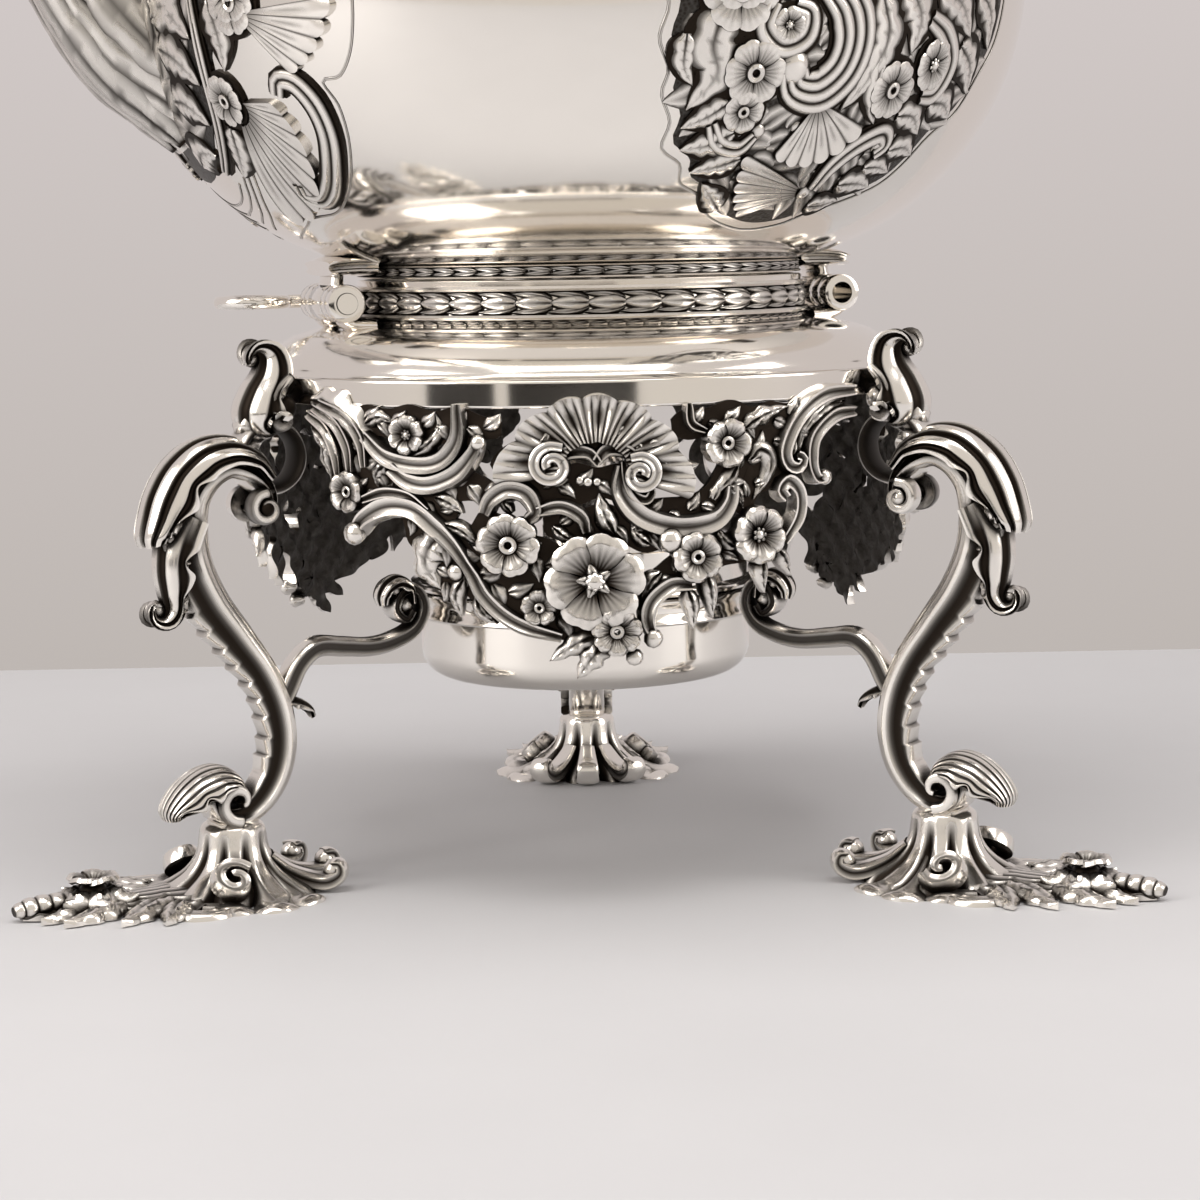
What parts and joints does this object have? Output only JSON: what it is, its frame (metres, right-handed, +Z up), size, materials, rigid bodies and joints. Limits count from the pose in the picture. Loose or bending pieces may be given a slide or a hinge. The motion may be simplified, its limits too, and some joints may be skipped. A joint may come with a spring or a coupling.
{
  "type": "spirit kettle on stand",
  "caption": "Bellied silver tea kettle hinged on a scroll-legged lampstand with pierced floral aprons, a hinged lid, a swinging bail handle and a lift-out spirit burner.",
  "frame": {"origin": "middle of the object's box, on the table the feet stand on", "axes": "+Z up, -Y towards the pictured front apron, spout towards -X and a little forward"},
  "size_m": [0.2721, 0.235, 0.3706],
  "materials": {
    "silver": "polished silver with darkened recesses",
    "insulator": "satin, cream",
    "cotton": "plaited cotton"
  },
  "bodies": {
    "stand": {"stand_ring": "silver", "stand_laurel_band": "silver", "apron_front": "silver", "apron_left": "silver", "apron_right": "silver", "leg_left": "silver", "knee_bracket_left": "silver", "foot_left": "silver", "burner_arm_left": "silver", "leg_right": "silver", "knee_bracket_right": "silver", "foot_right": "silver", "burner_arm_right": "silver", "leg_rear": "silver", "knee_bracket_rear": "silver", "foot_rear": "silver", "burner_arm_rear": "silver", "burner_holder": "silver", "pour_hinge_ears": "silver", "lock_hinge_ears": "silver"},
    "kettle": {"kettle_body": "silver", "kettle_shoulder": "silver", "kettle_foot_band": "silver", "kettle_mouth_band": "silver", "spout": "silver", "pour_hinge_lug": "silver", "lock_hinge_lug": "silver", "lid_hinge_leaf": "silver", "lid_hinge_pin": "silver", "handle_socket_spout": "silver", "handle_socket_back": "silver", "handle_pivot_spout": "silver", "handle_pivot_back": "silver"},
    "lid": {"lid": "silver", "lid_bezel": "silver", "lid_knuckle": "silver", "finial": "silver", "finial_nut": "silver"},
    "handle": {"handle_arm_spout": "silver", "handle_arm_back": "silver", "handle_insulator_spout": "insulator", "handle_insulator_back": "insulator", "handle_grip": "silver"},
    "pour_pin": {"pour_pin": "silver"},
    "lock_pin": {"lock_pin": "silver"},
    "burner": {"burner_reservoir": "silver", "burner_cover": "silver", "wick_tube": "silver", "wick": "cotton"},
    "snuffer": {"snuffer_cap": "silver", "snuffer_knob": "silver"}
  },
  "joints": [
    {"name": "kettle_tilt", "type": "hinge", "parent": "stand", "child": "kettle", "pos_m": [-0.03624, -0.03488, 0.1234], "axis": [0.2756, -0.9613, 0], "range_deg": [0, 40]},
    {"name": "lid_hinge", "type": "hinge", "parent": "kettle", "child": "lid", "pos_m": [0.00395, 0.02741, 0.25912], "axis": [-0.9613, -0.2756, 0], "range_deg": [0, 95]},
    {"name": "handle_swing", "type": "hinge", "parent": "kettle", "child": "handle", "pos_m": [0.0174, -0.0195, 0.24997], "axis": [0.9613, 0.2756, 0], "range_deg": [-75, 75]},
    {"name": "pour_pin_pull", "type": "slide", "parent": "stand", "child": "pour_pin", "axis": [-0.2756, 0.9613, 0], "range_m": [0, 0.042]},
    {"name": "lock_pin_slide", "type": "slide", "parent": "stand", "child": "lock_pin", "axis": [-0.2756, 0.9613, 0], "range_m": [-0.0245, 0.014]},
    {"name": "burner_lift", "type": "slide", "parent": "stand", "child": "burner", "axis": [0, 0, 1], "range_m": [0, 0.022]},
    {"name": "snuffer_lift", "type": "slide", "parent": "burner", "child": "snuffer", "axis": [0, 0, 1], "range_m": [0, 0.02]}
  ]
}
